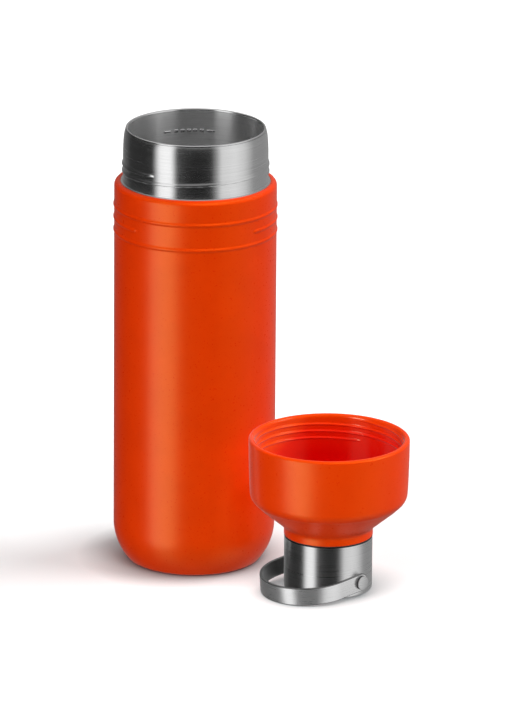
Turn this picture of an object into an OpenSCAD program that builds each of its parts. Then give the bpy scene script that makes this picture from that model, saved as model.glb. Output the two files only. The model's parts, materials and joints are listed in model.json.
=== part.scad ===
// Insulated water bottle: open double-walled steel bottle, and its screw-on pouring
// lid standing upside down beside it on its drinking cap, with the carry handle
// folded flat. Millimetres, +Z up, origin at the centre of the bottle's base.

/* [Bottle] */
// Outer radius of the coated body
body_r = 42.9; // [42:0.1:43.2]
// Height of the shoulder that the lid's rim closes on
shoulder_z = 208.5; // [206:0.5:211]
// Height of the bare steel neck above the shoulder
neck_h = 28.8; // [28.6:0.1:29.2]
// Radius of the arc that rounds the body into its foot
foot_arc_r = 30; // [29:0.5:31]
// Height at which the body's straight wall begins
wall_start_z = 20.5; // [20:0.5:21.5]
// Thickness of the outer steel wall with its coating
shell_t = 0.8; // [0.6:0.1:0.9]

/* [Grip beads] */
// Height of the lowest of the three raised beads
bead_z = 182; // [178:0.5:184]
// Spacing of the beads
bead_pitch = 6.8; // [6:0.1:7.2]
// How far a bead stands out of the wall
bead_h = 0.45; // [0.2:0.05:0.6]
// Half the height of a bead on the wall
bead_half = 1.7; // [1.2:0.1:2]
// Angle left plain at the front of the middle bead
bead_gap_deg = 92; // [60:2:120]

/* [Inner liner] */
// Inner radius of the liner's body
liner_r = 39.3; // [38.5:0.1:39.5]
// Inner radius of the mouth and neck
mouth_r = 35.5; // [35:0.1:35.6]
// Thickness of the liner's wall
liner_t = 0.5; // [0.4:0.1:0.6]
// Height of the underside of the liner's floor
liner_floor_z = 8; // [7:0.5:10]

/* [Threads] */
// Lead of the double-start screw threads, the rise in one turn
lead = 7.6; // [7.4:0.1:7.8]
// Radius of the plain neck under its thread
neck_r = 38.3; // [38.2:0.05:38.35]
// How far the neck's rolled thread stands out
neck_thread_h = 0.6; // [0.5:0.05:0.6]
// Inner radius of the lid's threaded wall
lid_bore_r = 39.25; // [39.2:0.05:39.3]
// How far the lid's thread ridges stand in
lid_thread_h = 0.65; // [0.6:0.05:0.7]
// Outer radius of the pouring spout
spout_r = 17.4; // [17.2:0.1:17.5]
// How far the spout's thread stands out
spout_thread_h = 0.8; // [0.6:0.1:0.8]

/* [Lid] */
// Distance from the bottle's axis to the upturned lid's axis
lid_dist = 86.2; // [86.2:0.2:120]
// Direction in which the lid stands, from +X
lid_azimuth = -34.2; // [-60:0.2:0]
// Height of the lid's rim above the ground while it stands upside down
rim_z = 82.25; // [82:0.05:82.5]
// Largest radius of the lid
lid_r = 42.4; // [42.2:0.1:42.4]
// Radius of the narrow collar next to the cap
collar_r = 23.5; // [23.3:0.1:23.5]
// Inner radius of the pouring spout
spout_bore_r = 14.5; // [13:0.5:15]

/* [Cap and handle] */
// Outer radius of the steel cap
cap_r = 23.3; // [23.2:0.1:23.3]
// Height of the steel cap
cap_h = 28.35; // [28.2:0.05:28.4]
// Direction of the handle's pivot axis, from +X
pivot_azimuth = -46.5; // [-60:0.5:-30]
// Distance from the cap's flat top to the pivot axis
pivot_z = 8; // [7.6:0.1:8.2]
// Width of the handle's steel strap
strap_w = 9.5; // [9:0.1:9.8]
// Thickness of the strap
strap_t = 1.6; // [1.4:0.1:1.7]
// Distance from the cap's axis to the inside of a strap arm
arm_in = 23.85; // [23.8:0.05:24]
// Length of the straight arms, from the pivot to the round end
arm_len = 14.5; // [13:0.5:15]

/* [Hidden] */
$fn = 96;

// colours
coat_orange = [0.85, 0.20, 0.03];
gloss_orange = [0.80, 0.10, 0.02];
steel = [0.72, 0.72, 0.71];
dull_steel = [0.58, 0.58, 0.58];
copper = [0.78, 0.46, 0.30];
black = [0.05, 0.05, 0.05];
silicone = [0.86, 0.86, 0.84];
foam_white = [0.93, 0.93, 0.90];
brass = [0.78, 0.64, 0.34];

// bottle
lip_z = shoulder_z + neck_h;
shoulder_corner = 2.7;
shoulder_hole_r = 39.5;
neck_t = 0.6;
foot_r = 34.5;
base_t = 0.8;
foot_inner_deg = 37;
base_seat_z = wall_start_z - (foot_arc_r - shell_t) * sin(foot_inner_deg);
base_lip_r = 31;
cover_r = 32.4;
cover_z = 2.1;
flange_r = 40.1;
liner_corner = 14;
shield_gap = 0.5;
shield_t = 0.3;

// lid position and the line it is turned over about
lid_x = lid_dist * cos(lid_azimuth);
lid_y = lid_dist * sin(lid_azimuth);
pitch = lead / 2;
closed_gap = 0.3;
turns_to_close = 4.75;
lid_travel = lead * turns_to_close;
carry_z2 = shoulder_z + closed_gap + rim_z + lid_travel;
carry_azimuth = lid_azimuth - 90;

// threads: height of a ridge at azimuth 0
neck_thread_z = 217.64;
neck_thread_a = [-200, 55];
lid_thread_z = carry_z2 - neck_thread_z - lead * carry_azimuth / 180 - 12.5 * pitch;
lid_thread_a = [65, 605];
cap_thread_z = 13;
cap_thread_a = [150, 560];
spout_thread_a = [240, 600];
step_deg = 9;

// cap
cap_wall = 0.6;
cap_top_t = 0.8;
liner_r_out = cap_r - cap_wall - 0.05;
flange_t = 0.7;
cap_thread_r = 18.6;
cap_thread_h = 0.85;
disc_z = 10;
disc_t = 1.6;
gasket_t = 1.3;
spout_tip_z = disc_z + disc_t + gasket_t + 0.35;
collar_z = cap_h + flange_t + 0.25;
seat_z = rim_z - 30.75;
waist = [34.6, 52.6];
waist_r = 7;

// handle and pivots
washer_t = 0.45;
pin_r = 2;
pin_in = 20.6;
insert_in = 20.1;
insert_r = 3;
head_r = 3.75;
head_t = 1.8;
eye_r = 5;
strap_mid = arm_in + strap_t / 2;
head_u = arm_in + strap_t + 0.05;
tilt = asin((pivot_z - strap_w / 2 - 0.1) / (arm_len + arm_in + strap_t));

// points on an arc in a profile
function arc(c, r, a0, a1, n) =
    [for (i = [0:n]) c + r * [cos(a0 + (a1 - a0) * i / n), sin(a0 + (a1 - a0) * i / n)]];

// one raised bead in the wall's profile, from below to above
function bead(r, z) =
    [for (i = [-4:4]) [r + bead_h * pow(cos(i * 22.5), 2), z + bead_half * i / 4]];

module at_lid() translate([lid_x, lid_y, 0]) children();

// local X is the pivot axis and the arms run along -Y
module at_pivot() at_lid() translate([0, 0, pivot_z]) rotate(pivot_azimuth) children();

// two copies, one at each end of the pivot axis, with local Z along that axis
module both_pivots() at_pivot() for (a = [90, -90]) rotate([0, a, 0]) children();

// helical ridge: depth > 0 stands out of a wall of radius r, depth < 0 stands into it
module ridge(r, depth, half_base, half_top, z0, span) {
    root = r - sign(depth) * 0.3;
    crest = r + depth;
    n = ceil((span[1] - span[0]) / step_deg);
    function fade(i) = min(1, 0.15 + 0.85 * min(i, n - i) / 3);
    function ring(i) = let (a = span[0] + (span[1] - span[0]) * i / n,
        z = z0 + lead * a / 360, f = fade(i), top = root + (crest - root) * f)
        [for (p = [[root, -half_base * f], [top, -half_top * f],
            [top, half_top * f], [root, half_base * f]])
            [p[0] * cos(a), p[0] * sin(a), z + p[1]]];
    pts = [for (i = [0:n]) each ring(i)];
    flip = depth > 0;
    function face(f) = flip ? f : [for (k = [len(f) - 1:-1:0]) f[k]];
    sides = [for (i = [0:n - 1]) for (k = [0:3]) let (a = 4 * i + k, b = 4 * i + (k + 1) % 4)
        each [face([a, b, b + 4]), face([a, b + 4, a + 4])]];
    ends = [face([3, 2, 1, 0]), face([4 * n, 4 * n + 1, 4 * n + 2, 4 * n + 3])];
    polyhedron(pts, concat(sides, ends), convexity = 10);
}

// both starts of a double thread
module double_ridge(r, depth, half_base, half_top, z0, span)
    for (s = [0, 180])
        rotate(s) ridge(r, depth, half_base, half_top, z0, span);

// ---- bottle ----

module outer_shell() color(coat_orange) {
    foot_centre = [body_r - foot_arc_r, wall_start_z];
    corner = [body_r - shoulder_corner, shoulder_z - shoulder_corner];
    rotate_extrude() polygon(concat(
        [[base_lip_r, cover_z], [cover_r + 0.2, cover_z], [cover_r + 0.2, 0],
            [foot_r - 0.9, 0], [foot_r, 0.4]],
        arc(foot_centre, foot_arc_r, -40, 0, 12),
        bead(body_r, bead_z), bead(body_r, bead_z + 2 * bead_pitch),
        arc(corner, shoulder_corner, 0, 90, 6),
        [[shoulder_hole_r, shoulder_z], [shoulder_hole_r, shoulder_z - shell_t]],
        arc(corner, shoulder_corner - shell_t, 90, 0, 5),
        arc(foot_centre, foot_arc_r - shell_t, 0, -foot_inner_deg, 10),
        [[base_lip_r, base_seat_z]]));
    // middle bead, left open at the front
    middle_z = bead_z + bead_pitch;
    rotate(-90 + bead_gap_deg / 2) rotate_extrude(angle = 360 - bead_gap_deg)
        polygon(concat([[body_r - shell_t / 2, middle_z - bead_half]],
            bead(body_r, middle_z), [[body_r - shell_t / 2, middle_z + bead_half]]));
}

module threaded_neck() color(steel) {
    lower = shoulder_z - shell_t;
    rotate_extrude() polygon([
        [neck_r - neck_t, lower - 0.8], [flange_r, lower - 0.8], [flange_r, lower], [39.4, lower],
        [39.4, shoulder_z - 0.1], [38.9, shoulder_z + 0.1], [38.5, shoulder_z + 0.7],
        [neck_r, shoulder_z + 1.6], [neck_r, shoulder_z + 14.5], [38.2, shoulder_z + 18.5],
        [38.05, lip_z - 7], [37.8, lip_z - 4.3], [37.4, lip_z - 2.2], [36.95, lip_z - 0.9],
        [36.4, lip_z - 1.2], [36.85, lip_z - 2.5], [37.2, lip_z - 4.6],
        [37.45, lip_z - 7.2], [37.6, shoulder_z + 18.4], [neck_r - neck_t, shoulder_z + 14.4]]);
    double_ridge(neck_r, neck_thread_h, 1.1, 0.5, neck_thread_z, neck_thread_a);
}

module inner_liner() color(steel) {
    out_r = liner_r + liner_t;
    corner = [out_r - liner_corner, liner_floor_z + liner_corner];
    neck_start = shoulder_z - 3;
    rotate_extrude() polygon(concat(
        [[24, liner_floor_z]],
        arc(corner, liner_corner, -90, 0, 10),
        [[out_r, shoulder_z - 10], [out_r - 0.5, shoulder_z - 7.5],
            [mouth_r + liner_t + 0.6, neck_start - 1], [mouth_r + liner_t, neck_start],
            [mouth_r + liner_t, lip_z - 2], [36.3, lip_z - 1.0], [36.9, lip_z - 0.7], [36.8, lip_z - 0.25],
            [36.4, lip_z], [36, lip_z - 0.05], [35.65, lip_z - 0.4], [mouth_r, lip_z - 1.2],
            [mouth_r, neck_start], [mouth_r + 0.5, neck_start - 1.1],
            [out_r - liner_t - 0.5, shoulder_z - 7.7], [liner_r, shoulder_z - 10.1]],
        arc(corner, liner_corner - liner_t, 0, -90, 10),
        [[24, liner_floor_z + liner_t]]));
}

module liner_floor() color(dull_steel)
    translate([0, 0, liner_floor_z]) cylinder(r = 24, h = liner_t);

module heat_shield() color(copper) {
    r = liner_r + liner_t + shield_gap;
    low = liner_floor_z + liner_corner;
    rotate_extrude() polygon([[r, low], [r + shield_t, low],
        [r + shield_t, shoulder_z - 14], [r, shoulder_z - 14]]);
}

module outer_base() color(coat_orange) difference() {
    translate([0, 0, base_seat_z]) cylinder(r = 34, h = base_t);
    translate([0, 0, base_seat_z - 1]) cylinder(r = 1.5, h = base_t + 2);
}

module vacuum_seal() color(dull_steel)
    rotate_extrude() polygon([[0, 1.4], [4, 1.4], [5, 2.1], [5, base_seat_z],
        [1.5, base_seat_z], [1.5, base_seat_z + base_t], [0, base_seat_z + base_t]]);

module getter() color(dull_steel)
    translate([15, 0, base_seat_z + base_t]) cylinder(r = 4, h = 1.6);

module base_cover() color(coat_orange)
    rotate_extrude() polygon([[0, 0], [cover_r - 0.4, 0], [cover_r, 0.4], [cover_r, 2],
        [cover_r - 0.6, 2], [cover_r - 0.6, 0.8], [0, 0.8]]);

// ---- cap, upside down with its flat top on the ground ----

module cap_shell() color(steel) difference() {
    at_lid() rotate_extrude() polygon(concat(
        [[0, 0], [cap_r - 1.5, 0]],
        arc([cap_r - 1.2, 1.2], 1.2, -75, 0, 5),
        [[cap_r, cap_h], [cap_r - cap_wall, cap_h], [cap_r - cap_wall, 1.6],
            [cap_r - 1.5, cap_top_t], [0, cap_top_t]]));
    both_pivots() cylinder(r = pin_r + 0.1, h = cap_r + 5);
}

module cap_liner() color(black) at_lid() difference() {
    union() {
        rotate_extrude() polygon([[0, disc_z], [19.4, disc_z], [19.4, 1.7], [liner_r_out, 1.7],
            [liner_r_out, cap_h], [cap_r, cap_h], [cap_r, cap_h + flange_t],
            [cap_thread_r, cap_h + flange_t], [cap_thread_r, disc_z + disc_t],
            [0, disc_z + disc_t]]);
        double_ridge(cap_thread_r, -cap_thread_h, 0.8, 0.35, cap_thread_z, cap_thread_a);
    }
    translate([-lid_x, -lid_y, 0]) both_pivots()
        translate([0, 0, insert_in - 0.1]) cylinder(r = insert_r + 0.02, h = 10);
}

module cap_foam() color(foam_white) at_lid()
    translate([0, 0, 0.9]) cylinder(r = 19.2, h = disc_z - 1);

module cap_gasket() color(silicone) at_lid()
    translate([0, 0, disc_z + disc_t]) cylinder(r = 17.5, h = gasket_t);

module pivot_inserts() color(brass) both_pivots() translate([0, 0, insert_in]) difference() {
    cylinder(r = insert_r, h = 2.3);
    translate([0, 0, 0.4]) cylinder(r = pin_r + 0.02, h = 3);
}

module pivot_pins() color(steel) both_pivots()
    rotate_extrude() polygon(concat([[0, pin_in], [pin_r, pin_in], [pin_r, head_u],
        [head_r, head_u], [head_r, head_u + head_t * 0.7]],
        [for (i = [1:5]) [head_r * cos(i * 15), head_u + head_t * (0.7 + 0.3 * sin(i * 15))]],
        [[0, head_u + head_t]]));

module pivot_washers() color(black) both_pivots() translate([0, 0, cap_r + 0.04]) difference() {
    cylinder(r = 3.6, h = washer_t);
    translate([0, 0, -1]) cylinder(r = pin_r + 0.05, h = 3);
}

// flat strap bent into a bail: two eyes, two straight arms and a half-round end
module handle() color(steel) at_pivot() rotate([tilt, 0, 0]) difference() {
    union() {
        translate([0, -arm_len, -strap_w / 2]) rotate(180) rotate_extrude(angle = 180)
            translate([arm_in, 0]) square([strap_t, strap_w]);
        for (s = [1, -1]) {
            translate([s * strap_mid, -arm_len / 2, 0])
                cube([strap_t, arm_len, strap_w], center = true);
            translate([s * strap_mid, 0, 0]) rotate([0, 90, 0])
                cylinder(r = eye_r, h = strap_t, center = true);
        }
    }
    rotate([0, 90, 0]) cylinder(r = pin_r + 0.06, h = 80, center = true);
}

// ---- lid, upside down, screwed onto the cap ----

module lid_gasket() color(silicone) at_lid() {
    seat = seat_z + 0.15;
    rotate_extrude() polygon([[34.6, seat], [38.9, seat], [38.9, seat + 1.3],
        [38.3, seat + 1.85], [35.2, seat + 1.85], [34.6, seat + 1.3]]);
}

module lid_inner() color(gloss_orange) at_lid() {
    rotate_extrude() polygon([[spout_bore_r, spout_tip_z + 0.4], [spout_bore_r + 0.4, spout_tip_z],
        [spout_r - 0.6, spout_tip_z], [spout_r, spout_tip_z + 0.6],
        [spout_r, 35], [31.5, 47.6], [34, 49.5], [39.6, 49.9], [40.2, 50.7], [40.5, 51.8],
        [40.5, rim_z - 0.1], [40, rim_z - 0.2], [39.5, rim_z - 0.8], [lid_bore_r, rim_z - 1.6],
        [lid_bore_r, seat_z], [34.3, seat_z], [34.1, seat_z + 0.6], [33.4, seat_z + 0.6],
        [31.9, 49.8], [spout_bore_r + 1, 37.4], [spout_bore_r, 36]]);
    double_ridge(lid_bore_r, -lid_thread_h, 0.8, 0.4, lid_thread_z, lid_thread_a);
    double_ridge(spout_r, spout_thread_h, 0.9, 0.4, cap_thread_z + pitch / 2, spout_thread_a);
}

module lid_foam() color(foam_white) at_lid()
    rotate_extrude() polygon([[17.9, 31.2], [21.5, 31.2], [21.7, 34.7], [24, 37.1],
        [36.3, 47.3], [37.4, 48.6], [34.3, 48.9], [31.8, 47.2], [17.9, 34.9]]);

module lid_shell() color(coat_orange) at_lid()
    rotate_extrude() polygon(concat(
        [[17.6, collar_z], [collar_r, collar_z], [collar_r, 32.6], [23.75, 33.5], [24.5, 34.6]],
        [[37.4, 45.5]], arc(waist, waist_r, -48, -4, 8),
        [[41.8, 56.5], [42.05, 63], [lid_r - 0.1, 73], [lid_r, 79.5]],
        arc([lid_r - 0.9, rim_z - 1.2], 0.9, 0, 60, 3),
        [[41.4, rim_z - 0.1], [40.9, rim_z], [40.6, rim_z - 0.1], [40.6, 52.4]],
        arc(waist, waist_r - 1, -4, -48, 6),
        [[23.9, 36.4], [22, 34.4], [21.8, 30.9], [17.6, 30.9]]));

outer_shell();
threaded_neck();
inner_liner();
liner_floor();
heat_shield();
outer_base();
vacuum_seal();
getter();
base_cover();
cap_shell();
cap_liner();
cap_foam();
cap_gasket();
pivot_inserts();
pivot_pins();
pivot_washers();
handle();
lid_gasket();
lid_inner();
lid_foam();
lid_shell();
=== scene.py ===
"""Looks for the insulated water bottle: lathe and swept meshes in place of the CAD pieces that
show, dressed CAD pieces for the rest, and a white studio."""
import json
import math

import bpy
import numpy as np
from mathutils import Matrix, Vector

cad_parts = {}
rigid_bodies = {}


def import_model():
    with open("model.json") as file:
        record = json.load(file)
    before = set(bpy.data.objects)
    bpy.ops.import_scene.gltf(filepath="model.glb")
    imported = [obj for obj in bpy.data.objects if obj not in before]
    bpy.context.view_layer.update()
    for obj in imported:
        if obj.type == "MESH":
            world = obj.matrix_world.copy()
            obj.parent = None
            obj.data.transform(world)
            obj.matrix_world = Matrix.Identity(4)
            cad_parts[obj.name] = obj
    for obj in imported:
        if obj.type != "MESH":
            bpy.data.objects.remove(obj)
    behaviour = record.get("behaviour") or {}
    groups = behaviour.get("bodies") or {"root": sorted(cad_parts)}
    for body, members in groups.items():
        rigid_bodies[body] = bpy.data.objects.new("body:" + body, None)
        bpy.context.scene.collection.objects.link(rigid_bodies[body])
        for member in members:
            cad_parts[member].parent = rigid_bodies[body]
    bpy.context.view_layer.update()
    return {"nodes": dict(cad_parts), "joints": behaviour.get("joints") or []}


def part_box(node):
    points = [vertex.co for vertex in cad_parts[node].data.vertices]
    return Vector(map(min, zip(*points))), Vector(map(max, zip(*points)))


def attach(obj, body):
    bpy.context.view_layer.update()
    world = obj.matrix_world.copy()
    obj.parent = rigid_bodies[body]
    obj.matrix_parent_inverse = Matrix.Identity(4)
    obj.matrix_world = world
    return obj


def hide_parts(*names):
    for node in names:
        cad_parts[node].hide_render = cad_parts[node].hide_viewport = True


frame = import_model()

MM = 0.001
SEGMENTS = 384


# ---- dimensions, in millimetres ----

def node_box(name):
    low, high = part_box(name)
    return low / MM, high / MM


def joint(name):
    return next(j for j in frame["joints"] if j["name"] == name)


# positions and outer sizes, read from the frame
shell_high = node_box("outer_shell")[1]
lid_low, lid_high = node_box("lid_shell")
cap_low, cap_high = node_box("cap_shell")
LIP_Z = node_box("inner_liner")[1].z
SHOULDER_Z = shell_high.z
BEAD_H = 0.45
BODY_R = shell_high.x - BEAD_H
LID_X = joint("lid_turn")["pos_m"][0] / MM
LID_Y = joint("lid_turn")["pos_m"][1] / MM
RIM_Z = lid_high.z
LID_R = (lid_high.x - lid_low.x) / 2
CAP_R = (cap_high.x - cap_low.x) / 2
CAP_H = cap_high.z
COLLAR_Z = lid_low.z

# the part's own radii, which its boxes don't give
FOOT_ARC_R = 30
WALL_START_Z = 20.5
SHELL_T = 0.8
MOUTH_R = 35.5
SPOUT_R = 17.4
SPOUT_BORE_R = 14.5

# the same right-handed double thread runs in the lid and on the neck; a height is a ridge's at 0 degrees
LEAD = 7.6
PITCH = LEAD / 2
NECK_R = 38.3
NECK_THREAD_Z = 217.64
LID_BORE_R = 39.25
CARRY = joint("lid_carry")
CARRY_DEG = math.degrees(math.atan2(CARRY["axis"][1], CARRY["axis"][0]))
SPOUT_THREAD_Z = 13 + PITCH / 2
# turned over onto the bottle, the lid's ridges lie between the neck's
LID_THREAD_Z = 2 * CARRY["pos_m"][2] / MM - NECK_THREAD_Z - LEAD * CARRY_DEG / 180 - 12.5 * PITCH


# ---- mesh helpers ----

def arc(cx, cz, r, start, end, steps):
    """Points of an arc in a profile, angles in degrees."""
    angles = np.radians(np.linspace(start, end, steps + 1))
    return [(cx + r * math.cos(a), cz + r * math.sin(a)) for a in angles]


def fill(points, step):
    """A profile with extra points, so that no edge is longer than step."""
    out = [points[0]]
    for (r0, z0), (r1, z1) in zip(points, points[1:]):
        n = max(1, math.ceil(math.hypot(r1 - r0, z1 - z0) / step))
        out += [(r0 + (r1 - r0) * i / n, z0 + (z1 - z0) * i / n) for i in range(1, n + 1)]
    return out


def add_mesh(name, verts, faces, smooth_deg=35):
    mesh = bpy.data.meshes.new(name)
    mesh.from_pydata([tuple(v) for v in verts], [], faces)
    mesh.update()
    mesh.shade_smooth()
    mesh.set_sharp_from_angle(angle=math.radians(smooth_deg))
    piece = bpy.data.objects.new(name, mesh)
    bpy.context.scene.collection.objects.link(piece)
    return piece


def lathe(name, profile, centre=(0, 0), relief=None):
    """Closed solid of revolution. The profile is a loop of (r, z) points, anticlockwise in
    the r, z plane. relief(angle_deg, r, z) gives how far a point moves outwards."""
    prof = np.array(profile, float)
    angle = np.linspace(0, 2 * math.pi, SEGMENTS, endpoint=False)
    r = np.repeat(prof[None, :, 0], SEGMENTS, 0)
    z = np.repeat(prof[None, :, 1], SEGMENTS, 0)
    if relief:
        r = r + relief(np.degrees(angle)[:, None], r, z)
    x = r * np.cos(angle)[:, None]
    y = r * np.sin(angle)[:, None]
    verts = np.stack([x, y, z], -1).reshape(-1, 3) * MM
    count = len(prof)
    on_axis = prof[:, 0] < 1e-9
    index = np.arange(SEGMENTS * count).reshape(SEGMENTS, count)
    for k in np.where(on_axis)[0]:
        index[:, k] = index[0, k]
    faces = []
    for k in range(count):
        n = (k + 1) % count
        if on_axis[k] and on_axis[n]:
            continue
        for i in range(SEGMENTS):
            j = (i + 1) % SEGMENTS
            face = [index[i, k], index[j, k], index[j, n], index[i, n]]
            face = [v for t, v in enumerate(face) if v != face[t - 1]]
            faces.append(face)
    used = sorted({v for f in faces for v in f})
    keep = {v: t for t, v in enumerate(used)}
    faces = [[keep[v] for v in f] for f in faces]
    piece = add_mesh(name, verts[used], faces)
    piece.location = (centre[0] * MM, centre[1] * MM, 0)
    return piece


def ridge_relief(height, below, above, spans, fade_deg):
    """Relief of right-handed helical ridges, which fall away over the widths below and above
    their crests. Each is given as the angles where it starts and ends, and its height at 0."""
    def relief(angle, z):
        total = np.zeros(np.broadcast(angle, z).shape)
        for low, high, start_z in spans:
            for turn in range(math.floor(low / 360) - 1, math.ceil(high / 360) + 1):
                a = angle + 360 * turn
                inside = np.clip(np.minimum(a - low, high - a) / fade_deg, 0, 1)
                grow = np.sqrt(inside * (2 - inside))
                rise = z - (start_z + LEAD * a / 360)
                d = np.abs(rise) / (np.where(rise < 0, below, above) * (0.35 + 0.65 * grow))
                shape = np.where(d < 1, np.cos(np.minimum(d, 1) * math.pi / 2) ** 2, 0)
                total = np.maximum(total, height * grow * shape)
        return total
    return relief


# ---- materials ----

def srgb(r, g, b):
    return [c / 12.92 if c <= 0.04045 else ((c + 0.055) / 1.055) ** 2.4 for c in (r, g, b)] + [1]


def material(name, colour, rough, metal=0.0, **sockets):
    mat = bpy.data.materials.new(name)
    mat.use_nodes = True
    shader = mat.node_tree.nodes["Principled BSDF"]
    shader.inputs["Base Color"].default_value = colour
    shader.inputs["Roughness"].default_value = rough
    shader.inputs["Metallic"].default_value = metal
    for socket, value in sockets.items():
        shader.inputs[socket.replace("_", " ")].default_value = value
    return mat, mat.node_tree, shader


def noise(tree, scale, detail=3.0, stretch=(1, 1, 1), rough=0.5):
    """Noise in object space; stretch scales the space first."""
    coords = tree.nodes.new("ShaderNodeTexCoord")
    mapping = tree.nodes.new("ShaderNodeMapping")
    mapping.inputs["Scale"].default_value = stretch
    node = tree.nodes.new("ShaderNodeTexNoise")
    node.inputs["Scale"].default_value = scale
    node.inputs["Detail"].default_value = detail
    node.inputs["Roughness"].default_value = rough
    tree.links.new(coords.outputs["Object"], mapping.inputs["Vector"])
    tree.links.new(mapping.outputs["Vector"], node.inputs["Vector"])
    return node.outputs["Fac"]


def remap(tree, value, low, high, from_low=0.3, from_high=0.7):
    node = tree.nodes.new("ShaderNodeMapRange")
    node.inputs["From Min"].default_value = from_low
    node.inputs["From Max"].default_value = from_high
    node.inputs["To Min"].default_value = low
    node.inputs["To Max"].default_value = high
    tree.links.new(value, node.inputs["Value"])
    return node.outputs["Result"]


def bump(tree, shader, value, strength, distance):
    node = tree.nodes.new("ShaderNodeBump")
    node.inputs["Strength"].default_value = strength
    node.inputs["Distance"].default_value = distance
    tree.links.new(value, node.inputs["Height"])
    previous = shader.inputs["Normal"].links
    if previous:
        tree.links.new(previous[0].from_socket, node.inputs["Normal"])
    tree.links.new(node.outputs["Normal"], shader.inputs["Normal"])


def tint(tree, shader, value, dark, light):
    """Base colour runs from dark to light with value."""
    ramp = tree.nodes.new("ShaderNodeValToRGB")
    ramp.color_ramp.elements[0].color = dark
    ramp.color_ramp.elements[1].color = light
    ramp.color_ramp.elements[0].position = 0.35
    ramp.color_ramp.elements[1].position = 0.65
    tree.links.new(value, ramp.inputs["Fac"])
    tree.links.new(ramp.outputs["Color"], shader.inputs["Base Color"])


def radial_steel(name, grey, rough, stretch, lines):
    """Steel brushed round its own vertical axis: fine level lines, and reflections that are
    drawn out upwards and downwards across them."""
    mat, tree, shader = material(name, (grey, grey, grey * 0.985, 1), rough, 1.0,
                                 Anisotropic=stretch, Anisotropic_Rotation=0.25)
    tangent = tree.nodes.new("ShaderNodeTangent")
    tangent.direction_type = "RADIAL"
    tangent.axis = "Z"
    tree.links.new(tangent.outputs["Tangent"], shader.inputs["Tangent"])
    grain = noise(tree, 3, 5, (6, 6, 900), 0.7)
    tree.links.new(remap(tree, grain, rough * 0.85, rough * 1.15), shader.inputs["Roughness"])
    tint(tree, shader, grain, (grey * 0.93,) * 3 + (1,), (grey * 1.04,) * 3 + (1,))
    bump(tree, shader, grain, lines, 0.00002)
    return mat


def powder_coat(name, colour, dark):
    """Satin coating: low orange-peel waves with a finer grain on them."""
    mat, tree, shader = material(name, colour, 0.3, Specular_IOR_Level=0.5, Specular_Tint=WARM)
    tint(tree, shader, noise(tree, 60, 4), dark, colour)
    tree.links.new(remap(tree, noise(tree, 900, 2), 0.27, 0.34), shader.inputs["Roughness"])
    bump(tree, shader, noise(tree, 1500, 2), 0.08, 0.00005)
    bump(tree, shader, noise(tree, 420, 2), 0.07, 0.00010)
    return mat


def moulded(name, colour, dark, rough, grain=0.04, **sockets):
    """Moulded plastic with a fine surface grain."""
    mat, tree, shader = material(name, colour, rough, **sockets)
    tint(tree, shader, noise(tree, 45, 3), dark, colour)
    varied = remap(tree, noise(tree, 700, 2), rough * 0.85, rough * 1.2)
    tree.links.new(varied, shader.inputs["Roughness"])
    bump(tree, shader, noise(tree, 2200, 2), grain, 0.00004)
    return mat


# tint of the coat's and the lid's own reflections
WARM = (1, 0.62, 0.06, 1)
ORANGE = srgb(0.885, 0.212, 0.0)
ORANGE_DARK = srgb(0.865, 0.202, 0.0)
COAT = powder_coat("powder_coat_orange", ORANGE, ORANGE_DARK)
LID_SATIN = moulded("lid_satin_orange", srgb(0.92, 0.228, 0.0), srgb(0.905, 0.218, 0.0), 0.32,
                    Specular_IOR_Level=0.5, Specular_Tint=WARM)
NECK_STEEL = radial_steel("neck_steel", 0.90, 0.24, 0.85, 0.14)
LINER_STEEL = radial_steel("liner_steel", 0.97, 0.34, 1.0, 0.12)
CAP_STEEL = radial_steel("cap_steel", 0.86, 0.30, 0.80, 0.10)
BLACK = moulded("black_plastic", (0.006, 0.006, 0.006, 1), (0.004, 0.004, 0.004, 1), 0.4)
SILICONE = moulded("silicone", (0.75, 0.75, 0.72, 1), (0.70, 0.70, 0.67, 1), 0.55)


def lid_gloss():
    """Glossy moulded plastic, its colour painted with light and shade: lighter orange at the rim and on
    the left, deep red further in.
    """
    mat, tree, shader = material("lid_gloss_orange", srgb(0.86, 0.1, 0.0), 0.20, Specular_IOR_Level=0.28,
                                 Specular_Tint=(1, 0.6, 0.4, 1))
    coords = tree.nodes.new("ShaderNodeTexCoord")
    split = tree.nodes.new("ShaderNodeSeparateXYZ")
    tree.links.new(coords.outputs["Object"], split.inputs["Vector"])
    # painted light and shade: darker red deeper in the lid, lighter orange on the left wall where light
    # falls
    depth = remap(tree, split.outputs["Z"], 0, 1, (RIM_Z - 22) * MM, RIM_Z * MM)
    side = remap(tree, split.outputs["X"], 0.9, 0, -LID_BORE_R * MM, -12 * MM)
    painted_shading = tree.nodes.new("ShaderNodeMath")
    painted_shading.operation = "ADD"
    tree.links.new(depth, painted_shading.inputs[0])
    tree.links.new(side, painted_shading.inputs[1])
    ramp = tree.nodes.new("ShaderNodeValToRGB")
    ramp.color_ramp.elements[0].color = srgb(0.80, 0.0, 0.0)
    ramp.color_ramp.elements[1].color = srgb(0.90, 0.26, 0.0)
    middle = ramp.color_ramp.elements.new(0.6)
    middle.color = srgb(0.86, 0.10, 0.0)
    tree.links.new(painted_shading.outputs["Value"], ramp.inputs["Fac"])
    tree.links.new(ramp.outputs["Color"], shader.inputs["Base Color"])
    bump(tree, shader, noise(tree, 900, 2), 0.03, 0.00004)
    return mat


LID_GLOSS = lid_gloss()


def satin_steel(name, grey, rough, metal=1.0):
    """Steel with a satin finish; fine level lines run through it."""
    mat, tree, shader = material(name, (grey, grey, grey, 1), rough, metal)
    grain = noise(tree, 3, 5, (30, 30, 1200), 0.7)
    tint(tree, shader, grain, (grey * 0.96,) * 3 + (1,), (grey * 1.03,) * 3 + (1,))
    tree.links.new(remap(tree, grain, rough * 0.95, rough * 1.08), shader.inputs["Roughness"])
    bump(tree, shader, grain, 0.05, 0.00002)
    return mat


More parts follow.
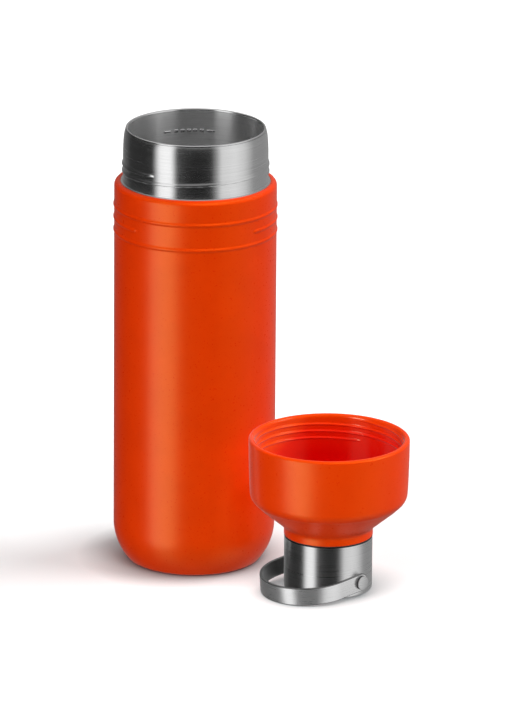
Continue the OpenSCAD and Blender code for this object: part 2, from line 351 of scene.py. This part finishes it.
STRAP_STEEL = satin_steel("strap_steel", 0.90, 0.28, 0.86)
PIN_STEEL = satin_steel("pin_steel", 0.66, 0.28, 0.85)
# near-black steel for painted shade on the rivet heads' sides
PIN_SIDE_PAINTED_SHADE = satin_steel("pin_side_painted_shade_steel", 0.12, 0.45)
MARK_STEEL = satin_steel("mark_steel", 0.95, 0.12)
LIP_STEEL = satin_steel("lip_steel", 0.92, 0.16)
# darker steel for painted shade on the strap's inner face and edges
STRAP_PAINTED_SHADE = satin_steel("strap_painted_shade_steel", 0.30, 0.30)
PLATE_STEEL = satin_steel("plate_steel", 0.60, 0.38)
COPPER = moulded("copper_foil", (0.78, 0.36, 0.20, 1), (0.70, 0.30, 0.17, 1), 0.3, 0.2, Metallic=1.0)
BRASS = moulded("brass", (0.78, 0.58, 0.25, 1), (0.70, 0.50, 0.22, 1), 0.3, 0.1, Metallic=1.0)
FOAM = moulded("rigid_foam", (0.85, 0.85, 0.80, 1), (0.75, 0.75, 0.70, 1), 0.9, 0.6)


def finish_piece(piece, mat, body, slot, *nodes):
    """Material, body, record slot (not used) and the CAD nodes that the piece stands for."""
    piece.data.materials.clear()
    piece.data.materials.append(mat)
    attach(piece, body)
    if nodes:
        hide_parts(*nodes)


# ---- bottle ----

def outer_shell():
    beads = [182.0, 188.8, 195.6]
    # the middle bead leaves this much plain on each side of the front, and tapers over end_deg
    gap_half, end_deg, bead_half = 46, 2.2, 1.45

    def relief(angle, r, z):
        total = np.zeros(np.broadcast(angle, z).shape)
        from_front = np.abs((angle + 90 + 180) % 360 - 180)
        for k, height in enumerate(beads):
            reach = 1.0 if k != 1 else np.clip((from_front - gap_half) / end_deg, 0, 1)
            reach = np.sqrt(reach * (2 - reach)) if k == 1 else reach
            half = bead_half * (1.0 if k != 1 else (0.4 + 0.6 * reach))
            d = np.abs(z - height) / half
            crest = BEAD_H * reach * np.cos(np.minimum(d, 1) * math.pi / 2) ** 2
            total = total + np.where(d < 1, crest, 0)
        return np.where(r > BODY_R - 0.05, total, 0)

    corner = 2.7
    foot = BODY_R - FOOT_ARC_R
    profile = [(31, 2.1), (32.5, 2.1), (32.6, 2.0), (32.6, 0.2), (32.8, 0)]
    profile += [(33.6, 0), (34.0, 0.08), (34.5, 0.4)]
    profile += arc(foot, WALL_START_Z, FOOT_ARC_R, -41, 0, 48)
    profile += fill([(BODY_R, WALL_START_Z), (BODY_R, 178)], 8)[1:]
    profile += fill([(BODY_R, 178), (BODY_R, 199.5)], 0.2)[1:]
    profile += arc(BODY_R - corner, SHOULDER_Z - corner, corner, 0, 90, 14)
    profile += [(39.8, SHOULDER_Z), (39.5, SHOULDER_Z - 0.15), (39.5, SHOULDER_Z - SHELL_T)]
    profile += arc(BODY_R - corner, SHOULDER_Z - corner, corner - SHELL_T, 90, 0, 8)
    profile += arc(foot, WALL_START_Z, FOOT_ARC_R - SHELL_T, 0, -37, 16)
    profile += [(31, 2.9)]
    piece = lathe("bottle_body", profile, relief=relief)
    piece.visible_glossy = False
    finish_piece(piece, COAT, "bottle", "coated_steel", "outer_shell")


def threaded_neck():
    starts = [(-200, 55, NECK_THREAD_Z), (-20, 235, NECK_THREAD_Z - PITCH)]
    thread = ridge_relief(0.6, 0.55, 2.0, starts, 12)

    def relief(angle, r, z):
        outside = (r > NECK_R - 0.2) & (z > SHOULDER_Z + 1.4) & (z < LIP_Z - 7)
        return np.where(outside, thread(angle, z), 0)

    low = SHOULDER_Z - 0.8
    base = [(37.7, low - 0.8), (41, low - 0.8), (41, low), (39.4, low), (39.4, SHOULDER_Z - 0.1)]
    base += [(38.7, SHOULDER_Z - 0.05), (38.4, SHOULDER_Z + 0.1), (NECK_R, SHOULDER_Z + 0.4)]
    wall = fill([(NECK_R, SHOULDER_Z + 0.4), (NECK_R, SHOULDER_Z + 14.5)], 0.2)[1:]
    top = [(38.28, SHOULDER_Z + 16.5), (38.2, SHOULDER_Z + 18.5)]
    top += [(38.14, LIP_Z - 8.6), (38.05, LIP_Z - 7)]
    top += [(37.94, LIP_Z - 5.6), (37.8, LIP_Z - 4.3), (37.62, LIP_Z - 3.2), (37.4, LIP_Z - 2.2)]
    top += [(37.19, LIP_Z - 1.5), (36.95, LIP_Z - 0.9)]
    inside = [(36.4, LIP_Z - 1.2), (36.85, LIP_Z - 2.5), (37.2, LIP_Z - 4.6), (37.45, LIP_Z - 7.2)]
    inside += [(37.6, SHOULDER_Z + 18.4), (37.7, SHOULDER_Z + 14.4)]
    piece = lathe("steel_neck", base + wall + top + inside, relief=relief)
    finish_piece(piece, NECK_STEEL, "bottle", "bare_steel", "threaded_neck")


def inner_liner():
    out_r, wall, bottom, corner = 39.8, 0.5, 8, 14
    mouth = MOUTH_R
    start = SHOULDER_Z - 3
    profile = [(24, bottom)] + arc(out_r - corner, bottom + corner, corner, -90, 0, 24)
    profile += [(out_r, SHOULDER_Z - 10), (out_r - 0.5, SHOULDER_Z - 7.5), (mouth + 1.1, start - 1)]
    profile += [(mouth + 0.5, start), (mouth + 0.5, LIP_Z - 2), (36.3, LIP_Z - 1.0)]
    profile += [(36.9, LIP_Z - 0.7), (36.92, LIP_Z - 0.5), (36.8, LIP_Z - 0.22), (36.62, LIP_Z - 0.08)]
    profile += [(36.4, LIP_Z), (36.15, LIP_Z - 0.01), (36, LIP_Z - 0.06), (35.8, LIP_Z - 0.2)]
    profile += [(35.65, LIP_Z - 0.4), (35.55, LIP_Z - 0.75), (mouth, LIP_Z - 1.2)]
    profile += fill([(mouth, LIP_Z - 1.2), (mouth, start)], 4)[1:]
    profile += [(mouth + 0.5, start - 1.1), (out_r - wall - 0.5, SHOULDER_Z - 7.7)]
    profile += [(out_r - wall, SHOULDER_Z - 10.1)]
    profile += arc(out_r - corner, bottom + corner, corner - wall, 0, -90, 24)
    profile += [(24, bottom + wall)]
    piece = lathe("steel_liner", profile)
    finish_piece(piece, LINER_STEEL, "bottle", "bare_steel", "inner_liner")
    # the rolled lip is brighter than the wall
    piece.data.materials.append(LIP_STEEL)
    for face in piece.data.polygons:
        if face.center.z > (LIP_Z - 1.1) * MM:
            face.material_index = 1


def fill_mark():
    """Level dashes raised on the back of the neck's inside: two long ones and five short."""
    bars = [(-19, 4.4, 1.1), (19, 4.4, 1.1)] + [(a, 2.2, 1.9) for a in (-11, -5.5, 0, 5.5, 11)]
    centre_deg, level, proud, steps = 96.5, LIP_Z - 12, 0.3, 6
    row = 2 * (steps + 1)
    rings = ((MOUTH_R + 0.06, 1.0), (MOUTH_R - proud * 0.55, 0.92), (MOUTH_R - proud, 0.6))
    verts, faces = [], []

    def ring(base):
        lower = [base + 2 * i for i in range(steps + 1)]
        return lower + [v + 1 for v in reversed(lower)]

    for offset, width, height in bars:
        base = len(verts)
        for face_r, shrink in rings:
            for i in range(steps + 1):
                x = width * shrink * (i / steps - 0.5)
                a = math.radians(centre_deg - offset) + x / MOUTH_R
                for end in (-1, 1):
                    z = level + end * height * shrink / 2
                    verts.append([face_r * math.cos(a), face_r * math.sin(a), z])
        loops = [ring(base + k * row) for k in range(len(rings))]
        for low, high in zip(loops, loops[1:]):
            faces += [[low[t], low[(t + 1) % row], high[(t + 1) % row], high[t]] for t in range(row)]
        faces += [loops[-1], loops[0][::-1]]
    piece = add_mesh("fill_mark", np.array(verts) * MM, faces, 50)
    finish_piece(piece, MARK_STEEL, "bottle", "bare_steel")


# ---- lid, upside down ----

def lid_shell():
    profile = [(17.6, COLLAR_Z), (23.3, COLLAR_Z), (23.5, COLLAR_Z + 0.25), (23.5, 32.2)]
    profile += [(23.56, 32.9), (23.75, 33.5), (24.06, 34.05), (24.5, 34.6), (25.0, 35.05)]
    profile += [(37.0, 45.15)]
    profile += arc(34.6, 52.6, 7, -54, -4, 24)
    profile += [(41.72, 54.3), (41.83, 56.5), (41.95, 59.5), (42.05, 63), (42.18, 68), (42.3, 73)]
    profile += [(LID_R - 0.02, 79.5)]
    profile += arc(LID_R - 1.4, RIM_Z - 1.45, 1.4, 0, 70, 10)
    profile += [(41.2, RIM_Z - 0.05), (40.95, RIM_Z), (40.7, RIM_Z - 0.05), (40.6, RIM_Z - 0.2)]
    profile += [(40.6, 52.4)] + arc(34.6, 52.6, 6, -4, -48, 10)
    profile += [(23.9, 36.4), (22, 34.4), (21.8, 30.9), (17.6, 30.9)]
    piece = lathe("lid_outer", profile, (LID_X, LID_Y))
    piece.visible_glossy = False
    finish_piece(piece, LID_SATIN, "lid", "lid_matte", "lid_shell")


def lid_inner():
    seat = RIM_Z - 30.75
    starts = [(65, 605, LID_THREAD_Z), (245, 785, LID_THREAD_Z - PITCH)]
    spout_starts = [(240, 600, SPOUT_THREAD_Z), (420, 780, SPOUT_THREAD_Z - PITCH)]
    thread = ridge_relief(0.65, 0.95, 0.95, starts, 20)
    spout = ridge_relief(0.8, 1.1, 1.1, spout_starts, 20)

    def relief(angle, r, z):
        wall = (np.abs(r - LID_BORE_R) < 0.02) & (z > seat + 1)
        tube = (np.abs(r - SPOUT_R) < 0.02) & (z < 30)
        return np.where(wall, -thread(angle, z), 0) + np.where(tube, spout(angle, z), 0)

    tip = node_box("lid_inner")[0].z
    profile = [(SPOUT_BORE_R, tip + 0.4), (14.62, tip + 0.12), (14.9, tip), (16.8, tip)]
    profile += [(17.25, tip + 0.2), (SPOUT_R, tip + 0.6)]
    profile += fill([(SPOUT_R, tip + 0.6), (SPOUT_R, 30)], 0.3)[1:]
    profile += [(SPOUT_R, 35), (31.5, 47.6), (34, 49.5), (39.6, 49.9), (40.2, 50.7), (40.5, 51.8)]
    profile += [(40.5, RIM_Z - 0.25)]
    profile += [(40.42, RIM_Z - 0.12), (40.25, RIM_Z - 0.1), (40, RIM_Z - 0.2), (39.72, RIM_Z - 0.45)]
    profile += [(39.5, RIM_Z - 0.8), (39.33, RIM_Z - 1.2), (LID_BORE_R, RIM_Z - 1.6)]
    profile += fill([(LID_BORE_R, RIM_Z - 1.6), (LID_BORE_R, 66)], 0.2)[1:]
    profile += [(LID_BORE_R, seat), (34.3, seat), (34.1, seat + 0.6), (33.4, seat + 0.6)]
    profile += [(31.9, 49.8), (15.5, 37.4), (14.8, 36.7), (SPOUT_BORE_R, 36)]
    piece = lathe("lid_inside", profile, (LID_X, LID_Y), relief)
    piece.visible_glossy = False
    finish_piece(piece, LID_GLOSS, "lid", "lid_gloss", "lid_inner")


# ---- cap and handle ----

def dress_node(name, mat, bevel=0.0):
    """A CAD node keeps its shape: its seams are welded, its material set, and its edges eased when a bevel
    is given.
    """
    node = frame["nodes"][name]
    node.data.materials.clear()
    node.data.materials.append(mat)
    weld = node.modifiers.new("weld", "WELD")
    weld.merge_threshold = 0.000002
    if bevel:
        ease = node.modifiers.new("ease", "BEVEL")
        ease.width = bevel * MM
        ease.segments = 3
        ease.limit_method = "ANGLE"
        ease.angle_limit = math.radians(50)
        ease.harden_normals = True


def cap_shell():
    profile = [(0, 0), (CAP_R - 1.5, 0)] + arc(CAP_R - 1.2, 1.2, 1.2, -80, 0, 12)
    profile += fill([(CAP_R, 1.2), (CAP_R, CAP_H)], 4)[1:]
    profile += [(CAP_R - 0.6, CAP_H), (CAP_R - 0.6, 1.6), (CAP_R - 1.5, 0.8), (0, 0.8)]
    piece = lathe("cap_cup", profile, (LID_X, LID_Y))
    finish_piece(piece, CAP_STEEL, "cap", "brushed_cap", "cap_shell")


def at_pivot(points, tilt=0.0):
    """Points in the pivot's own frame, its axis along X and the arms along -Y, moved into place."""
    swing = joint("handle_swing")
    centre = Vector(swing["pos_m"]) / MM
    heading = math.atan2(swing["axis"][1], swing["axis"][0])
    turn = Matrix.Rotation(heading, 3, "Z") @ Matrix.Rotation(tilt, 3, "X")
    return [(centre + turn @ Vector(p)) * MM for p in points]


def strap():
    """Flat strap with rounded edges, bent into a bail and ending in two round eyes."""
    arm_in, thick, width, arm = 23.85, 1.6, 9.5, 14.5
    edge = 0.42
    mid = arm_in + thick / 2
    pivot_z = joint("handle_swing")["pos_m"][2] / MM
    tilt = math.asin((pivot_z - width / 2 - 0.1) / (arm + arm_in + thick))
    bend = math.pi * mid
    length = 2 * arm + bend

    def bent(along, across, out):
        if along < arm:
            return (mid + out, -along, across)
        if along > arm + bend:
            return (-mid - out, -(length - along), across)
        angle = (along - arm) / mid
        return ((mid + out) * math.cos(angle), -arm - (mid + out) * math.sin(angle), across)

    # from the inner face to the outer one: how far out, and how far in from the strap's edge
    edge_steps, steps, cap_steps = 6, 160, 20
    layers = [(-thick / 2 + edge * (1 - math.cos(math.pi / 2 * k / edge_steps)),
               edge * (1 - math.sin(math.pi / 2 * k / edge_steps))) for k in range(edge_steps + 1)]
    layers += [(-out, inset) for out, inset in reversed(layers)]
    verts = []
    for out, inset in layers:
        half = width / 2 - inset
        near = [(half * -math.sin(math.pi * t / (2 * cap_steps)),
                 half * math.cos(math.pi * t / (2 * cap_steps))) for t in range(cap_steps, -1, -1)]
        side = near + [(length * t / steps, half) for t in range(1, steps)]
        side += [(length - x, y) for x, y in reversed(near)]
        loop = side + [(x, -y) for x, y in reversed(side[1:-1])]
        verts += [bent(x, y, out) for x, y in loop]
    n = len(verts) // len(layers)
    faces = []
    for k in range(len(layers) - 1):
        low, high = k * n, (k + 1) * n
        faces += [[low + t, low + (t + 1) % n, high + (t + 1) % n, high + t] for t in range(n)]
    outer_layer = (len(layers) - 1) * n
    for base, flip in ((0, True), (outer_layer, False)):
        for t in range(n // 2):
            a, b = t, (t + 1)
            c, d = (n - b) % n, (n - a) % n
            face = [base + v for v in dict.fromkeys((a, b, c, d))]
            faces.append(face[::-1] if flip else face)
    piece = add_mesh("strap", at_pivot(verts, tilt), faces, 60)
    piece.visible_glossy = False
    finish_piece(piece, STRAP_STEEL, "handle", "strap_steel", "handle")
    # painted shade: the inner face and the edges get a darker steel than the broad outer face
    piece.data.materials.append(STRAP_PAINTED_SHADE)
    outer_start = outer_layer + n // 2
    for face in piece.data.polygons:
        face.material_index = 0 if face.index >= outer_start else 1


def rivets():
    """The two pivot pins, each a shaft with a proud domed head."""
    head_r, head_u, height, shaft = 3.75, 25.5, 1.8, 2.0
    profile = [(0, 20.6), (shaft, 20.6), (shaft, head_u), (head_r - 0.12, head_u), (head_r, head_u + 0.12)]
    shoulder = head_u + 1.26
    profile += [(head_r, shoulder)]
    side_rings = (3, len(profile) - 1)
    profile += [(head_r - 0.3 * (1 - math.cos(a)), shoulder + 0.3 * math.sin(a))
                for a in np.linspace(0.2, math.pi / 2, 6)]
    profile += [(head_r * 0.7, shoulder + 0.42), (head_r * 0.35, head_u + height - 0.02)]
    profile += [(0, head_u + height)]
    around = 96
    verts, faces = [], []
    for side in (1, -1):
        base = len(verts)
        for r, u in profile:
            for t in range(around):
                a = 2 * math.pi * t / around
                verts.append((side * u, r * math.cos(a), side * r * math.sin(a)))
        for k in range(len(profile) - 1):
            for t in range(around):
                w = (t + 1) % around
                faces.append([base + k * around + t, base + k * around + w,
                              base + (k + 1) * around + w, base + (k + 1) * around + t])
    piece = add_mesh("rivets", at_pivot(verts), faces, 40)
    merge = piece.modifiers.new("weld", "WELD")
    merge.merge_threshold = 0.000001
    finish_piece(piece, PIN_STEEL, "cap", "brushed_cap", "pivot_pins")
    # painted shade: the heads' sides get near-black steel, the dark crescent round each head
    piece.data.materials.append(PIN_SIDE_PAINTED_SHADE)
    for face in piece.data.polygons:
        ring = face.index % (around * (len(profile) - 1)) // around
        if side_rings[0] <= ring < side_rings[1]:
            face.material_index = 1


for build in (outer_shell, threaded_neck, inner_liner, fill_mark, lid_shell, lid_inner, cap_shell,
              strap, rivets):
    build()
for name, mat in (("pivot_washers", BLACK), ("pivot_inserts", BRASS), ("cap_liner", BLACK),
                  ("cap_gasket", SILICONE), ("cap_foam", FOAM), ("lid_foam", FOAM),
                  ("lid_gasket", SILICONE), ("liner_floor", LINER_STEEL), ("heat_shield", COPPER),
                  ("outer_base", COAT), ("vacuum_seal", PLATE_STEEL), ("getter", PLATE_STEEL)):
    dress_node(name, mat)
dress_node("base_cover", COAT, 0.15)
# bare steel doesn't mirror the coated parts, and so mustn't mirror what they cover either
for name in ("outer_base", "base_cover", "heat_shield", "getter", "vacuum_seal",
             "lid_foam", "lid_gasket"):
    frame["nodes"][name].visible_glossy = False


# ---- studio ----

def camera():
    """Long lens that looks slightly down, from the front."""
    tilt = math.radians(17.51)
    roll_deg = 0.423
    distance = 4200
    target = Vector((33.52, 0, 110.83))
    back = Vector((0, -math.cos(tilt), math.sin(tilt)))
    data = bpy.data.cameras.new("camera")
    data.sensor_width = 36
    data.lens = 399.56
    data.clip_end = 100
    cam = bpy.data.objects.new("camera", data)
    bpy.context.scene.collection.objects.link(cam)
    cam.rotation_mode = "QUATERNION"
    roll = Matrix.Rotation(math.radians(roll_deg), 4, "Z").to_quaternion()
    cam.rotation_quaternion = (-back).to_track_quat("-Z", "Y") @ roll
    cam.location = (target + back * distance) * MM
    bpy.context.scene.camera = cam


def floor():
    """White ground with a painted contact shadow: ambient occlusion darkens its colour where a piece
    stands close to it.
    """
    size, clearance = 30, 0.0001
    verts = [(-size, -size, 0), (size, -size, 0), (size, size, 0), (-size, size, 0)]
    plane = add_mesh("floor", verts, [[0, 1, 2, 3]])
    handle_low = node_box("handle")[0].z * MM
    plane.location.z = handle_low - clearance if handle_low < 0 else 0
    mat, tree, shader = material("floor_white", (0.8, 0.8, 0.8, 1), 0.6, Specular_IOR_Level=0.0)
    # painted contact shadow: the floor's colour runs from dark grey to white with ambient occlusion
    near = tree.nodes.new("ShaderNodeAmbientOcclusion")
    near.inputs["Distance"].default_value = 0.024
    near.samples = 16
    ramp = tree.nodes.new("ShaderNodeValToRGB")
    ramp.color_ramp.elements[0].position = 0.25
    ramp.color_ramp.elements[0].color = (0.22, 0.23, 0.235, 1)
    ramp.color_ramp.elements[1].color = (0.92, 0.92, 0.92, 1)
    tree.links.new(near.outputs["AO"], ramp.inputs["Fac"])
    tree.links.new(ramp.outputs["Color"], shader.inputs["Base Color"])
    plane.data.materials.append(mat)
    plane.visible_glossy = False
    plane.visible_diffuse = False


# How bright the studio looks in each direction round the object, in degrees from the camera,
# positive to its right. Bare steel mirrors the first list: a white panel on the left, a wider one
# on the right and a dim back. Rays that leave the coated and moulded parts see the second.
STEEL_PANELS = [(-180, 0.30), (-150, 0.12), (-125, 0.03), (-70, 0.02), (-59, 1.02), (-39, 1.06),
                (-30, 0.04), (0, 0.012), (26, 0.02), (35, 0.30), (42, 0.72), (50, 0.72), (66, 0.78),
                (84, 0.64), (105, 0.28), (130, 0.26), (180, 0.30)]
COAT_PANELS = [(-180, 0.01), (-60, 0.01), (-56, 1.8), (-34, 1.8), (-27, 0.01), (30, 0.01),
               (58, 0.42), (95, 0.34), (115, 0.01), (180, 0.01)]
# a ramp holds colours up to 1, so the panels' levels are divided by this and multiplied again
PANEL_SCALE = 8.0
BELOW = 0.1
BELOW_IN_STEEL = 0.02
OVERHEAD = 0.2
OVERHEAD_IN_STEEL = 0.5


def world():
    scene = bpy.context.scene
    scene.view_settings.view_transform = "Standard"
    scene.view_settings.look = "None"
    sky = bpy.data.worlds.new("studio")
    scene.world = sky
    sky.use_nodes = True
    tree = sky.node_tree
    tree.nodes.clear()
    sky.cycles.sampling_method = "NONE"
    out = tree.nodes.new("ShaderNodeOutputWorld")
    path = tree.nodes.new("ShaderNodeLightPath")
    coords = tree.nodes.new("ShaderNodeTexCoord")
    split = tree.nodes.new("ShaderNodeSeparateXYZ")
    tree.links.new(coords.outputs["Generated"], split.inputs["Vector"])
    flip = tree.nodes.new("ShaderNodeMath")
    flip.operation = "MULTIPLY"
    flip.inputs[1].default_value = -1
    tree.links.new(split.outputs["Y"], flip.inputs[0])
    azimuth = tree.nodes.new("ShaderNodeMath")
    azimuth.operation = "ARCTAN2"
    tree.links.new(split.outputs["X"], azimuth.inputs[0])
    tree.links.new(flip.outputs["Value"], azimuth.inputs[1])
    around = remap(tree, azimuth.outputs["Value"], 0, 1, -math.pi, math.pi)

    def panels(levels):
        ramp = tree.nodes.new("ShaderNodeValToRGB")
        stops = ramp.color_ramp.elements
        for stop, (degrees, level) in zip(list(stops), (levels[0], levels[-1])):
            stop.position = (degrees + 180) / 360
            stop.color = (level / PANEL_SCALE,) * 3 + (1,)
        for degrees, level in levels[1:-1]:
            stops.new((degrees + 180) / 360).color = (level / PANEL_SCALE,) * 3 + (1,)
        tree.links.new(around, ramp.inputs["Fac"])
        node = background(PANEL_SCALE)
        tree.links.new(ramp.outputs["Color"], node.inputs["Color"])
        return node

    def background(strength):
        node = tree.nodes.new("ShaderNodeBackground")
        node.inputs["Color"].default_value = (1, 1, 1, 1)
        node.inputs["Strength"].default_value = strength
        return node

    def mix(factor, a, b):
        node = tree.nodes.new("ShaderNodeMixShader")
        tree.links.new(factor, node.inputs["Fac"])
        tree.links.new(a.outputs[0], node.inputs[1])
        tree.links.new(b.outputs[0], node.inputs[2])
        return node

    glossy = path.outputs["Is Glossy Ray"]
    sides = mix(glossy, panels(COAT_PANELS), panels(STEEL_PANELS))
    above = mix(glossy, background(OVERHEAD), background(OVERHEAD_IN_STEEL))
    below = mix(glossy, background(BELOW), background(BELOW_IN_STEEL))
    studio = mix(remap(tree, split.outputs["Z"], 0, 1, 0.4, 0.75), sides, above)
    studio = mix(remap(tree, split.outputs["Z"], 1, 0, -0.95, -0.75), studio, below)
    shown = mix(path.outputs["Is Camera Ray"], studio, background(1.0))
    tree.links.new(shown.outputs["Shader"], out.inputs["Surface"])


def sun(name, azimuth, elevation, strength, spread):
    """Soft light without a mirror image; azimuth in degrees from the camera, positive to its right."""
    data = bpy.data.lights.new(name, "SUN")
    data.energy = strength
    data.angle = math.radians(spread)
    light = bpy.data.objects.new(name, data)
    bpy.context.scene.collection.objects.link(light)
    a, e = math.radians(azimuth), math.radians(elevation)
    towards = Vector((math.sin(a) * math.cos(e), -math.cos(a) * math.cos(e), math.sin(e)))
    light.location = towards
    light.rotation_mode = "QUATERNION"
    light.rotation_quaternion = (-towards).to_track_quat("-Z", "Y")
    light.visible_glossy = False
    return light


def pass_through(light, pieces):
    """The light isn't blocked by these pieces, so that they don't shade the bottle beside them."""
    group = bpy.data.collections.new(light.name + "_pass")
    light.light_linking.blocker_collection = group
    for piece in pieces:
        group.objects.link(piece)
    for member in group.collection_objects:
        member.light_linking.link_state = "EXCLUDE"


def light_only(light, pieces):
    """The light reaches these pieces alone, and nothing stands in its way."""
    reached = bpy.data.collections.new(light.name + "_only")
    light.light_linking.receiver_collection = reached
    for piece in pieces:
        reached.objects.link(piece)
    blocking = bpy.data.collections.new(light.name + "_blocked")
    light.light_linking.blocker_collection = blocking
    blocking.objects.link(bpy.data.objects["fill_mark"])


camera()
floor()
world()
# the lid, the cap and the handle, which stand beside the bottle
beside = [o for o in bpy.data.objects
          if (o.type == "MESH" and o.location.x > 0) or o.name in ("strap", "rivets")]
beside += [frame["nodes"][n] for n in frame["nodes"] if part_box(n)[0].x > 0]
sun("left_fill", -52, 45, 1.14, 40)
pass_through(sun("front_fill", 24, 52, 0.76, 30), beside)
pass_through(sun("right_fill", 98, 42, 3.05, 50), beside)
sun("top_fill", 0, 80, 0.5, 100)
pass_through(sun("floor_bounce", 0, -60, 1.2, 100), [bpy.data.objects["floor"]])
WHITE, COOL = (1, 1, 1), (1, 1, 3)
# highlights alone: these lights leave the diffuse shading as it is
for name, azimuth, elevation, strength, spread, colour, lit in (
        ("coat_gloss_left", -45, -10, 1.5, 44, COOL, ("bottle_body", "lid_outer")),
        ("coat_gloss_top", 25, 46, 1.1, 50, WHITE, ("bottle_body", "lid_outer")),
        ("lid_gloss_left", -44, 8, 3.2, 18, WHITE, ("lid_inside",)),
        ("lid_gloss_right", 76, 24, 1.2, 30, WHITE, ("lid_inside", "lid_outer"))):
    gloss = sun(name, azimuth, elevation, strength, spread)
    gloss.data.color = colour
    gloss.visible_glossy = True
    gloss.visible_diffuse = False
    light_only(gloss, [bpy.data.objects[piece] for piece in lit])
